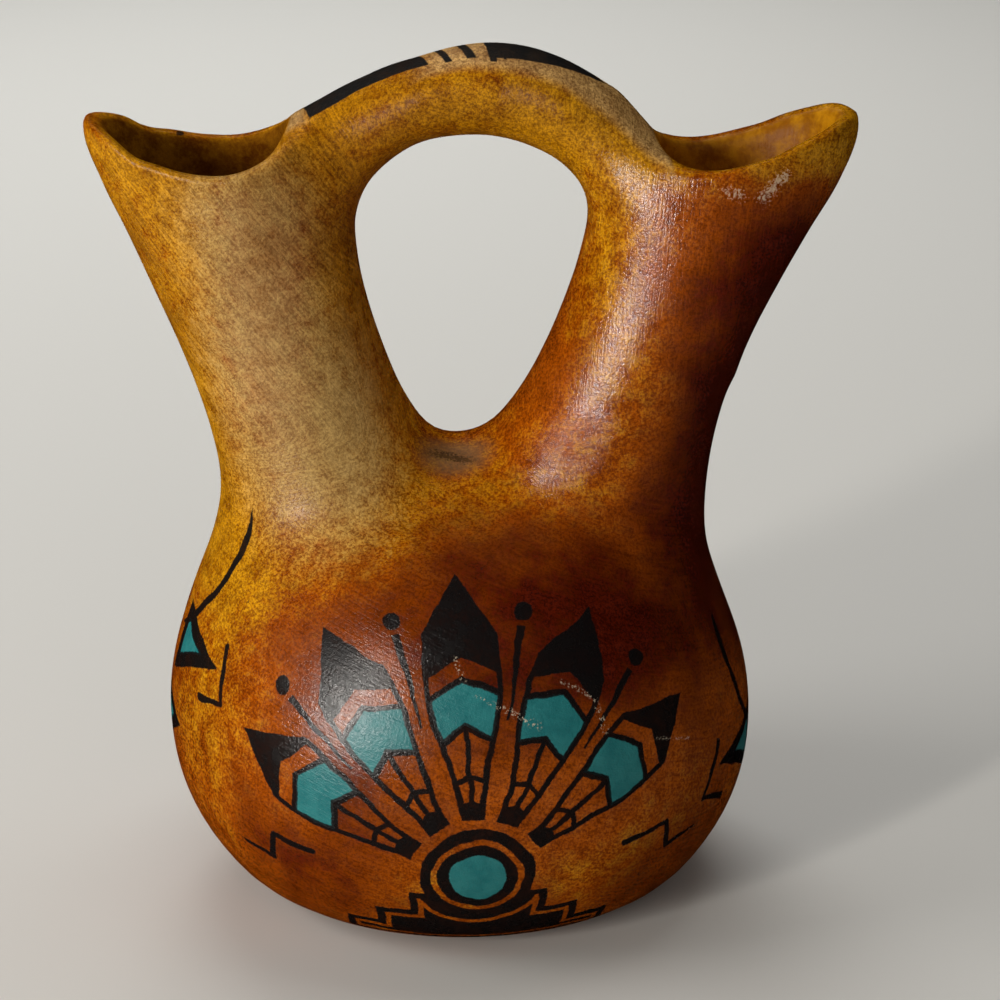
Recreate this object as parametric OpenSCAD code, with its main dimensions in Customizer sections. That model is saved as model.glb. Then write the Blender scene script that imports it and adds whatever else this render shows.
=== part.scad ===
// Wedding vase: one hollow body with two leaning spouts and an arched handle.
// X runs from spout to spout, Y from front (-) to back (+), Z up from the foot.

/* [Overall size] */
// height over the top of the handle
total_h = 200; // [180:1:220]
// width over the two spout tips
total_w = 172.5; // [156:0.5:190]
// depth of the round belly, front to back
total_d = 130.5; // [118:0.5:144]

/* [Wall] */
// wall thickness, measured level
wall = 5.6; // [4.8:0.1:6.4]
// thickness of the floor
floor_t = 7; // [5:0.5:10]
// rounding of the lip
lip_round = 5; // [4:0.5:6]

/* [Handle] */
// depth of the handle, front to back
handle_d = 23; // [20:0.5:25]
// height of the handle section over its design height
handle_add = 0; // [-0.6:0.1:0.8]

/* [Blends] */
// blend between the belly and the spouts
neck_blend = 22; // [17:1:23]
// blend between the two spouts
fork_blend = 13; // [11:1:15]
// blend between the handle and the spouts
handle_blend = 16; // [12:1:18]
// rounding of the foot
heel = 12; // [9:0.5:14]

/* [Hidden] */

// design size of the tables below
H0 = 200;
W0 = 172.5;
D0 = 130.5;
clay = [0.66, 0.38, 0.13];

// belly: its own centre, lean to the left with height, depth to width
BX = -0.5;
BZ = 42;
LEAN = -0.023;
KY = 0.95;
// belly: angle above the level of the centre, distance from the centre
BELLY = [[-90,56],[-62,51],[-48,57.4],[-36,64.2],[-24,66.9],[-12,68.4],[0,68.7],[12,68.5],[24,67.7],
         [36,67.2],[48,65.9],[62,61.6],[90,63.7]];
// spouts: height, [centre out from the middle, half width, half depth, egg shape]
SPOUT_L = [[40,[20,20,20,0]],[70,[31.7,22.7,22,0]],[84,[32.3,22.5,22.3,0]],[95,[30.3,24.7,22.5,0]],
           [112,[34,23.7,22.5,0]],[124,[38.3,22.9,22,0.02]],[147,[46.3,23.9,21.5,0.05]],
           [158,[49.4,25.4,21.2,0.08]],[170,[53.1,27,21.3,0.13]],[182,[58.8,24.8,21.8,0.18]],
           [196,[57.9,20.4,22,0.2]]];
SPOUT_R = [[40,[20,20,20,0]],[70,[30,21.8,22,0]],[84,[31.3,23,22.2,0]],[95,[28.2,28.1,22.5,0]],
           [112,[34,25,22.3,0]],[124,[39.2,23.1,21.8,0]],[147,[49.2,23.6,20.8,0]],
           [158,[53.7,25,19.8,0.02]],[170,[59.5,25.9,19,0.04]],[182,[65.2,23.7,18.7,0.05]],
           [196,[65.8,17.5,18.7,0.05]]];
// rims: distance out from the middle, height of the rim
RIM_L = [[30,180],[38,179.5],[42,177.3],[46,175.8],[51,174.8],[56,174.9],[61,175.6],[66,176.8],
         [71,178],[76,181.3],[81,183.6],[88,185.1]];
RIM_R = [[36,176.5],[44,176],[49,175],[54,174.8],[59,175.4],[64,176.6],[69,178.1],[74,180.4],
         [79,182.4],[84,184.4],[92,184.6]];
// handle: x, [height of the centre line, half thickness]
ARCH = [[-66,[150,8]],[-52,[161,8]],[-40,[168.9,8.8]],[-30,[175.7,9.8]],[-20,[182.1,9.5]],
        [-10,[187.1,8.9]],[0,[189.5,9.7]],[8,[189.7,10.2]],[16,[188,10.3]],[24,[184.3,10]],
        [33,[177.4,9.5]],[43,[165.5,8.5]],[56,[151,8]],[70,[137,8]]];

// mesh: columns round the belly, columns over the fork, belly rings, spout rings,
// spout rings below the handle, handle rings, lip rows, guided rings above the belly
N = 56;
K = 10;
MB = 15;
MF = 6;
M = 18;
BLK = 12;
HN = 18;
LR = 4;
MR = 5;
S = N/2 + K;
HP = 2*K + 2*(M - BLK);

// ---- curves through the tables ----
function seg(t, x) = min(len(t) - 2, len([for (k = [1:len(t) - 1]) if (t[k][0] <= x) 1]));
function slp(t, i) = (t[i+1][1] - t[i][1])/(t[i+1][0] - t[i][0]);
function tan_at(t, i) = i == 0 ? slp(t, 0) : i == len(t) - 1 ? slp(t, i - 1) :
    let (h0 = t[i][0] - t[i-1][0], h1 = t[i+1][0] - t[i][0])
    (slp(t, i - 1)*h1 + slp(t, i)*h0)/(h0 + h1);
function curve(t, x) = let (i = seg(t, x), h = t[i+1][0] - t[i][0], s = (x - t[i][0])/h)
    t[i][1]*(2*s*s*s - 3*s*s + 1) + t[i+1][1]*(3*s*s - 2*s*s*s)
    + tan_at(t, i)*(h*(s*s*s - 2*s*s + s)) + tan_at(t, i + 1)*(h*(s*s*s - s*s));
function fine(t, d) = let (a = t[0][0], b = t[len(t)-1][0]) [for (k = [0:round((b - a)/d)]) curve(t, min(b, a + k*d))];
function at(f, a, d, x) = let (r = min(max((x - a)/d, 0), len(f) - 1.001), i = floor(r)) f[i] + (f[i+1] - f[i])*(r - i);

FB = fine(BELLY, 3);
FS = [fine(SPOUT_R, 2), fine(SPOUT_L, 2)];
FR = [fine(RIM_R, 1), fine(RIM_L, 1)];
RX = [36, 30];
FA = fine(ARCH, 2);
SG = [1, -1];

// ---- shape as a distance-like field, below 0 inside ----
function smin(a, b, k) = let (h = max(k - abs(a - b), 0)/k) min(a, b) - h*h*h*k/6;
function smax(a, b, k) = let (h = max(k - abs(a - b), 0)/k) max(a, b) + h*h*h*k/6;
function f_belly(p, t) = let (u = p[0] - BX - LEAN*(p[2] - BZ), v = p[1]/KY, w = p[2] - BZ, r = sqrt(u*u + v*v))
    sqrt(r*r + w*w) - at(FB, -90, 3, atan2(w, r)) + t;
function f_spout(p, s, t) = let (q = at(FS[s], 40, 2, p[2]), a = q[1] - t, b = q[2] - t,
    u = (p[0]*SG[s] - q[0])/a, w = p[1]/(b*(1 - q[3]*min(max(u, -1.5), 1.5))))
    max((sqrt(u*u + w*w) - 1)*min(a, b)*0.96, 45 - p[2]);
function f_mouth(p, s) = (p[2] - at(FR[s], RX[s], 1, p[0]*SG[s]))*0.95;
function f_handle(p) = let (q = at(FA, -66, 2, p[0]), g = (at(FA, -66, 2, p[0] + 1)[0] - at(FA, -66, 2, p[0] - 1)[0])/2,
    h = q[1] + handle_add, d = handle_d/2, u = (p[2] - q[0])/(h*sqrt(1 + g*g)), w = p[1]/d)
    smax((sqrt(u*u + w*w) - 1)*min(h, d), max(-50 - p[0], p[0] - 56), 3);
function side_of(p, s, cut) = p[0]*SG[s] < -30 ? 1000 : cut ? smax(f_spout(p, s, 0), f_mouth(p, s), 1.5) : f_spout(p, s, 0);
function outside(p, cut) = let (
    a = smin(side_of(p, 0, cut), side_of(p, 1, cut), fork_blend),
    b = p[2] > 160 ? a : smin(f_belly(p, 0), a, neck_blend),
    c = p[2] < 125 ? b : smin(b, f_handle(p), handle_blend))
    p[2] > 40 ? c : smax(c, -0.4 - p[2], heel);
function inside(p) = let (
    r = p[0] < -30 ? 1000 : f_spout(p, 0, wall), l = p[0] > 30 ? 1000 : f_spout(p, 1, wall), a = smin(r, l, 8))
    p[2] > 160 ? a : smin(smax(f_belly(p, wall), floor_t - p[2], 8), a, 14);
// 0 outside, 1 inside of the wall, 2 outside without the mouths, 3 the whole clay
function fld(m, p) = m == 0 ? outside(p, true) : m == 1 ? inside(p) : m == 2 ? outside(p, false)
    : smax(outside(p, true), -inside(p), lip_round);

// ---- points on the surface ----
function halve(m, o, d, a, b, n) = let (c = (a + b)/2) n == 0 ? o + d*c :
    fld(m, o + d*c) < 0 ? halve(m, o, d, c, b, n - 1) : halve(m, o, d, a, c, n - 1);
function step_out(m, o, d, t, e, n) = n == 0 || fld(m, o + d*(t + e)) > 0 ? halve(m, o, d, t, t + e, 12)
    : step_out(m, o, d, t + e, e, n - 1);
function pull(m, p, e, n) = n == 0 ? p : let (v = fld(m, p),
    g = [fld(m, p + [0.05,0,0]) - v, fld(m, p + [0,0.05,0]) - v, fld(m, p + [0,0,0.05]) - v]*20,
    q = g*(-v/max(g*g, 0.000001)), l = max(norm(q), 0.000001)) pull(m, p + q*min(1, e/l), e, n - 1);

// ---- belly, from the foot up to the level where the spouts part ----
ZW = [97, 94];
ZC = [21, 24.5];
E0 = [-36, -30];
function ring_pt(s, i, j) = let (a = 360*j/N, c = ZC[s])
    i < MF ? let (e = E0[s]*(1 - i/(MF - 1))) halve(s, [0,0,c], [cos(a)*cos(e), sin(a)*cos(e), sin(e)], 0, 100, 16)
    : step_out(s, [0,0,c + (ZW[s] - c)*(i - MF + 1)/(MB - MF)], [cos(a), sin(a), 0], 20, 4, 20);
RING = [for (s = [0,1]) [for (i = [0:MB-1]) [for (j = [0:N-1]) ring_pt(s, i, j)]]];
// points over the fork, from back to front
SAD = [for (s = [0,1]) let (a = RING[s][MB-1][N/4], b = RING[s][MB-1][3*N/4], z = a[2] - 25,
    p = atan2(a[2] - z, a[1]), q = atan2(b[2] - z, b[1]))
    [for (k = [1:K-1]) let (t = p + (q - p)*k/K) step_out(s, [(a[0] + b[0])/2, 0, z], [0, cos(t), sin(t)], 8, 3, 20)]];
// first ring of each spout, round the belly and back over the fork
RING0 = [for (s = [0,1]) [for (d = [0,1]) concat(
    [for (i = [0:N/2]) RING[s][MB-1][((d == 0 ? 3*N/4 : N/4) + i) % N]],
    [for (k = [1:K-1]) SAD[s][(d == 0 ? k : K - k) - 1]])]];
function axis_x(d, z) = at(FS[d], 40, 2, z)[0]*SG[d];
ANG0 = [for (s = [0,1]) [for (d = [0,1]) [for (i = [0:S-1]) let (p = RING0[s][d][i], a = atan2(p[1], p[0] - axis_x(d, p[2])))
    d == 0 ? (i > N/2 && a < 0 ? a + 360 : a) : (i > N/2 ? a + 360 : a < 0 ? a + 360 : a)]]];
function even(s, d, i) = ANG0[s][d][N/4] + (i - N/4)*360/S;

// ---- lips: a core line in the middle of the wall, and rows round it ----
function core_at(d, a, z, n, lo, hi) = let (c = [axis_x(d, z), 0, z], e = [cos(a), sin(a), 0])
    c + e*(wall/2 + gap(c, e, d, 4, 40, 14));
function gap(c, e, d, lo, hi, n) = let (m = (lo + hi)/2) n == 0 ? m :
    f_spout(c + e*m, d, wall) < 0 ? gap(c, e, d, m, hi, n - 1) : gap(c, e, d, lo, m, n - 1);
function core_z(d, a, lo, hi, n) = let (m = (lo + hi)/2) n == 0 ? m :
    outside(core_at(d, a, m), true) < -1.25 ? core_z(d, a, m, hi, n - 1) : core_z(d, a, lo, m, n - 1);
function lift(i) = let (c = N/2 + K/2, d = abs(i - c), e = min(d, S - d), t = min(max((K/2 + 1 - e)/1.5, 0), 1)) 72*t*t*(3 - 2*t);
LIP = [for (d = [0,1]) let (q = [for (i = [0:S-1]) let (a = even(0, d, i)) core_at(d, a, core_z(d, a, 160, 200, 16))])
    [for (l = [0:LR]) [for (i = [0:S-1]) let (a = even(0, d, i), b = lift(i) + (180 - lift(i))*l/LR)
        halve(3, q[i], [cos(a)*cos(b), sin(a)*cos(b), sin(b)], 0, 9, 13)]]];

// ---- spouts, ring by ring up to the lips ----
function row_pt(s, d, m, i) = let (t = m/M, w = min(t/0.6, 1), a = ANG0[s][d][i] + (even(s, d, i) - ANG0[s][d][i])*w*w*(3 - 2*w),
    z = RING0[s][d][i][2] + (LIP[d][s == 0 ? 0 : LR][i][2] - RING0[s][d][i][2])*t,
    p = step_out(s == 0 ? 2 : 1, [axis_x(d, z), 0, z], [cos(a), sin(a), 0], 6, 3, 20))
    m > 0.7*M ? pull(3, p, 0.6, 2) : p;
HIGH = [for (s = [0,1]) [for (d = [0,1]) [for (m = [MR:M-1]) [for (i = [0:S-1]) row_pt(s, d, m, i)]]]];
LOW = [for (s = [0,1]) [for (d = [0,1]) [for (m = [1:MR-1]) [for (i = [0:S-1])
    pull(s, RING0[s][d][i] + (HIGH[s][d][0][i] - RING0[s][d][i])*m/MR, 2, 6)]]]];

// ---- numbering of the points ----
B0 = 1 + MB*N + K - 1 + 2*(M - 1)*S;
LB = 2*B0;
HB = LB + 2*(LR + 1)*S;
function n_ring(s, i, j) = s*B0 + 1 + i*N + (j % N);
function n_sad(s, k) = s*B0 + 1 + MB*N + k - 1;
function n_lip(d, l, i) = LB + (d*(LR + 1) + l)*S + (i % S);
function n_row(s, d, m, i0) = let (i = i0 % S)
    m == 0 ? (i <= N/2 ? n_ring(s, MB - 1, (d == 0 ? 3*N/4 : N/4) + i) : n_sad(s, d == 0 ? i - N/2 : K - (i - N/2)))
    : m == M ? n_lip(d, s == 0 ? 0 : LR, i)
    : s*B0 + 1 + MB*N + K - 1 + (d*(M - 1) + m - 1)*S + i;
// edge of the patch left open for the handle, the same way round on both spouts
function n_loop(i) = let (k0 = N/2)
    i <= K ? n_row(0, 0, M, k0 + i) : i < K + M - BLK ? n_row(0, 0, M - (i - K), k0 + K)
    : i <= 2*K + M - BLK ? n_row(0, 0, BLK, k0 + K - (i - K - (M - BLK)))
    : n_row(0, 0, BLK + (i - 2*K - (M - BLK)), k0);
function n_loop_l(i0) = let (k0 = N/2, i = (K - i0 + HP) % HP)
    i <= K ? n_row(0, 1, M, k0 + i) : i < K + M - BLK ? n_row(0, 1, M - (i - K), k0 + K)
    : i <= 2*K + M - BLK ? n_row(0, 1, BLK, k0 + K - (i - K - (M - BLK)))
    : n_row(0, 1, BLK + (i - 2*K - (M - BLK)), k0);

SHEETS = [for (s = [0,1]) each concat(
    [halve(s, [0,0,ZC[s]], [0,0,-1], 0, 60, 16)],
    [for (r = RING[s]) each r], SAD[s],
    [for (d = [0,1]) each concat([for (r = LOW[s][d]) each r], [for (r = HIGH[s][d]) each r])])];
LIPS = [for (d = [0,1]) each [for (r = LIP[d]) each r]];
SKIN = concat(SHEETS, LIPS);

// ---- handle: tube between the two open patches ----
EL = [for (i = [0:HP-1]) SKIN[n_loop_l(i)]];
ER = [for (i = [0:HP-1]) SKIN[n_loop(i)]];
function mean_x(v) = [for (p = v) p[0]]*[for (p = v) 1]/len(v);
XL = mean_x(EL);
XR = mean_x(ER);
function oval(x, t) = let (q = at(FA, -66, 2, x), g = (at(FA, -66, 2, x + 1)[0] - at(FA, -66, 2, x - 1)[0])/2, c = 1/sqrt(1 + g*g))
    [x, 0, q[0]] + [-g*c, 0, c]*(cos(t)*q[1]) + [0, sin(t)*handle_d/2, 0];
TUBE = [for (h = [1:HN-1]) let (t = h/HN, x = XL + (XR - XL)*t,
    u = pow(max(1 - t/0.42, 0), 2), v = pow(max(1 - (1 - t)/0.42, 0), 2))
    [for (i = [0:HP-1]) let (a = 360*(K/2 - i)/HP)
        pull(0, oval(x, a) + (EL[i] - oval(XL, a))*u + (ER[i] - oval(XR, a))*v, 2, 6)]];
ALL = concat(SKIN, [for (r = TUBE) each r]);
SIZED = [for (p = ALL) [p[0]*total_w/W0, p[1]*total_d/D0, p[2]*total_h/H0]];

// ---- faces ----
function quad(a, b, c, d) = norm(ALL[a] - ALL[c]) <= norm(ALL[b] - ALL[d]) ? [[a,c,b],[a,d,c]] : [[a,d,b],[b,d,c]];
function turned(s, a, b, c, d) = s == 0 ? quad(a, b, c, d) : quad(d, c, b, a);
function n_tube(h, i) = h == 0 ? n_loop_l(i % HP) : h == HN ? n_loop(i % HP) : HB + (h - 1)*HP + (i % HP);
FACES = concat(
    [for (s = [0,1]) for (j = [0:N-1]) s == 0 ? [0, n_ring(0, 0, j), n_ring(0, 0, j + 1)] : [B0, n_ring(1, 0, j + 1), n_ring(1, 0, j)]],
    [for (s = [0,1]) for (i = [0:MB-2]) for (j = [0:N-1])
        each turned(s, n_ring(s, i, j), n_ring(s, i, j + 1), n_ring(s, i + 1, j + 1), n_ring(s, i + 1, j))],
    [for (s = [0,1]) for (d = [0,1]) for (m = [0:M-1]) for (i = [0:S-1])
        if (!(s == 0 && m >= BLK && i >= N/2 && i < N/2 + K))
            each turned(s, n_row(s, d, m, i), n_row(s, d, m, i + 1), n_row(s, d, m + 1, i + 1), n_row(s, d, m + 1, i))],
    [for (d = [0,1]) for (l = [0:LR-1]) for (i = [0:S-1])
        each quad(n_lip(d, l, i), n_lip(d, l, i + 1), n_lip(d, l + 1, i + 1), n_lip(d, l + 1, i))],
    [for (h = [0:HN-1]) for (i = [0:HP-1])
        each quad(n_tube(h, i), n_tube(h, i + 1), n_tube(h + 1, i + 1), n_tube(h + 1, i))]);

// the whole fired body, cut level under the foot
module vase() {
    color(clay)
    difference() {
        polyhedron(points = SIZED, faces = FACES);
        translate([-100, -100, -20]) cube([200, 200, 20]);
    }
}

vase();
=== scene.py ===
import math

import bpy
import numpy as np
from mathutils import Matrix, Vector


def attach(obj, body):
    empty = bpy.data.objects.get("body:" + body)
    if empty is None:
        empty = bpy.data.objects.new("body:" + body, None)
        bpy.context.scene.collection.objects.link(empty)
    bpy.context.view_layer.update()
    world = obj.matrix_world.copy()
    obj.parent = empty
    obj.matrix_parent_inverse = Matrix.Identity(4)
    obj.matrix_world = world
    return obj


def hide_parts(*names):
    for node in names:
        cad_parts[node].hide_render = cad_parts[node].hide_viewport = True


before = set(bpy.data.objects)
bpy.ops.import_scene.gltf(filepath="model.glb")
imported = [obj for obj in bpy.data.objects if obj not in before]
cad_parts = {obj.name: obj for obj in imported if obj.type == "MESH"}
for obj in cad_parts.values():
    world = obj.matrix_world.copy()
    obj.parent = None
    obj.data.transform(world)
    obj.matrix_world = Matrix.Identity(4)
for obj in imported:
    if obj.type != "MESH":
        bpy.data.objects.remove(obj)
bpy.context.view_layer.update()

# ---------------------------------------------------------------- shape, in millimetres
# The same tables as the construction model: elevation and radius of the belly, then height, centre, half width, half depth and egg of each spout.
BELLY = [[-90, 56], [-62, 51], [-48, 57.4], [-36, 64.2], [-24, 66.9], [-12, 68.4], [0, 68.7], [12, 68.5], [24, 67.7], [36, 67.2], [48, 65.9], [62, 61.6], [90, 63.7]]
LEFT = [[40, 20, 20, 20, 0], [70, 31.7, 22.7, 22, 0], [84, 32.3, 22.5, 22.3, 0], [95, 30.3, 24.7, 22.5, 0], [112, 34, 23.7, 22.5, 0], [124, 38.3, 22.9, 22, 0.02], [147, 46.3, 23.9, 21.5, 0.05], [158, 49.4, 25.4, 21.2, 0.08], [170, 53.1, 27, 21.3, 0.13], [182, 58.8, 24.8, 21.8, 0.18], [196, 57.9, 20.4, 22, 0.2]]
RIGHT = [[40, 20, 20, 20, 0], [70, 30, 21.8, 22, 0], [84, 31.3, 23, 22.2, 0], [95, 28.2, 28.1, 22.5, 0], [112, 34, 25, 22.3, 0], [124, 39.2, 23.1, 21.8, 0], [147, 49.2, 23.6, 20.8, 0], [158, 53.7, 25, 19.8, 0.02], [170, 59.5, 25.9, 19, 0.04], [182, 65.2, 23.7, 18.7, 0.05], [196, 65.8, 17.5, 18.7, 0.05]]
RIM_LEFT = [[30, 180], [38, 179.5], [42, 177.3], [46, 175.8], [51, 174.8], [56, 174.9], [61, 175.6], [66, 176.8], [71, 178], [76, 181.3], [81, 183.6], [88, 185.1]]
RIM_RIGHT = [[36, 176.5], [44, 176], [49, 175], [54, 174.8], [59, 175.4], [64, 176.6], [69, 178.1], [74, 180.4], [79, 182.4], [84, 184.4], [92, 184.6]]
ARCH = [[-66, 150, 8], [-52, 161, 8], [-40, 168.9, 8.8], [-30, 175.7, 9.8], [-20, 182.1, 9.5], [-10, 187.1, 8.9], [0, 189.5, 9.7], [8, 189.7, 10.2], [16, 188, 10.3], [24, 184.3, 10], [33, 177.4, 9.5], [43, 165.5, 8.5], [56, 151, 8], [70, 137, 8]]
BELLY_Z, BELLY_X, BELLY_LEAN, DEPTH = 42.0, -0.5, -0.023, 0.95
WALL, FLOOR_T, LIP, HEEL = 5.6, 7.0, 5.0, 12.0
NECK_BLEND, FORK_BLEND, HANDLE_BLEND, INNER_BLEND, HANDLE_Y = 22.0, 13.0, 16.0, 14.0, 11.5


def curve(table, column):
    """A smooth curve through one column of a table, read from a fine table of its own."""
    t = np.array(table, float)
    z, v = t[:, 0], t[:, column]
    h = np.diff(z)
    d = np.diff(v) / h
    m = np.empty_like(v)
    m[0], m[-1] = d[0], d[-1]
    m[1:-1] = (d[:-1] * h[1:] + d[1:] * h[:-1]) / (h[:-1] + h[1:])
    X = np.linspace(z[0], z[-1], 3001)
    i = np.clip(np.searchsorted(z, X, side="right") - 1, 0, len(z) - 2)
    s = (X - z[i]) / h[i]
    Y = v[i] * (2 * s**3 - 3 * s**2 + 1) + v[i + 1] * (3 * s**2 - 2 * s**3) + h[i] * (m[i] * (s**3 - 2 * s**2 + s) + m[i + 1] * (s**3 - s**2))
    return lambda x: np.interp(x, X, Y)


def smin(a, b, k):
    h = np.maximum(k - np.abs(a - b), 0) / k
    return np.minimum(a, b) - h**3 * k / 6


def smax(a, b, k):
    return -smin(-a, -b, k)


belly_r = curve(BELLY, 1)
spouts = {-1: [curve(LEFT, c) for c in (1, 2, 3, 4)], 1: [curve(RIGHT, c) for c in (1, 2, 3, 4)]}
rims = {-1: curve(RIM_LEFT, 1), 1: curve(RIM_RIGHT, 1)}
arch_z, arch_t = curve(ARCH, 1), curve(ARCH, 2)


def belly(q, t=0.0):
    x = q[..., 0] - BELLY_X - BELLY_LEAN * (q[..., 2] - BELLY_Z)
    rho, dz = np.sqrt(x * x + (q[..., 1] / DEPTH) ** 2), q[..., 2] - BELLY_Z
    return np.sqrt(rho * rho + dz * dz) - belly_r(np.degrees(np.arctan2(dz, rho))) + t


def spout(q, side, t=0.0):
    x, y, z = q[..., 0] * side, q[..., 1], q[..., 2]
    xc, a, b, e = (f(z) for f in spouts[side])
    a, b = a - t, b - t
    u = (x - xc) / a
    w = y / (b * (1 - e * np.clip(u, -1.5, 1.5)))
    return np.maximum((np.sqrt(u * u + w * w) - 1) * np.minimum(a, b) * 0.96, 45.0 - z)


def handle(q):
    x, y, z = q[..., 0], q[..., 1], q[..., 2]
    slope = arch_z(x + 0.5) - arch_z(x - 0.5)
    c, ht = 1 / np.sqrt(1 + slope * slope), arch_t(x)
    f = (np.sqrt(((z - arch_z(x)) * c / ht) ** 2 + (y / HANDLE_Y) ** 2) - 1) * np.minimum(ht, HANDLE_Y)
    return smax(f, np.maximum(-50 - x, x - 56), 3.0)


def outer(q, rim=True):
    both = []
    for side in (-1, 1):
        s = spout(q, side)
        if rim:
            s = smax(s, (q[..., 2] - rims[side](q[..., 0] * side)) * 0.95, 1.5)
        both.append(s)
    f = smin(belly(q), smin(both[0], both[1], FORK_BLEND), NECK_BLEND)
    return smax(smin(f, handle(q), HANDLE_BLEND), -0.4 - q[..., 2], HEEL)


def outer_uncut(q):
    return outer(q, False)


def inner(q):
    f = smax(belly(q, WALL), FLOOR_T - q[..., 2], 8.0)
    return smin(f, smin(spout(q, -1, WALL), spout(q, 1, WALL), INNER_BLEND * 0.6), INNER_BLEND)


def whole(q):
    return smax(outer(q), -inner(q), LIP)


def bisect(f, o, d, t0, t1, n=16):
    t0 = np.broadcast_to(np.asarray(t0, float), o.shape[:-1]).copy()
    t1 = np.broadcast_to(np.asarray(t1, float), o.shape[:-1]).copy()
    for _ in range(n):
        tm = (t0 + t1) / 2
        neg = f(o + tm[..., None] * d) < 0
        t0, t1 = np.where(neg, tm, t0), np.where(neg, t1, tm)
    return o + ((t0 + t1) / 2)[..., None] * d


def march(f, o, d, step, n):
    """The first way out of the shape along each ray."""
    t = np.zeros(o.shape[:-1])
    done = np.zeros(t.shape, bool)
    for _ in range(n):
        done |= f(o + (t + step)[..., None] * d) > 0
        if done.all():
            break
        t = np.where(done, t, t + step)
    return bisect(f, o, d, t, t + step)


def gradient(f, q, h=0.05):
    g = np.empty(q.shape)
    for i in range(3):
        e = np.zeros(3)
        e[i] = h
        g[..., i] = (f(q + e) - f(q - e)) / (2 * h)
    return g


def project(f, q, rounds=6, longest=2.0):
    for _ in range(rounds):
        g = gradient(f, q)
        step = -(f(q) / np.maximum((g * g).sum(-1), 1e-6))[..., None] * g
        length = np.linalg.norm(step, axis=-1, keepdims=True)
        q = q + step * np.minimum(1, longest / np.maximum(length, 1e-9))
    return q


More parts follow.
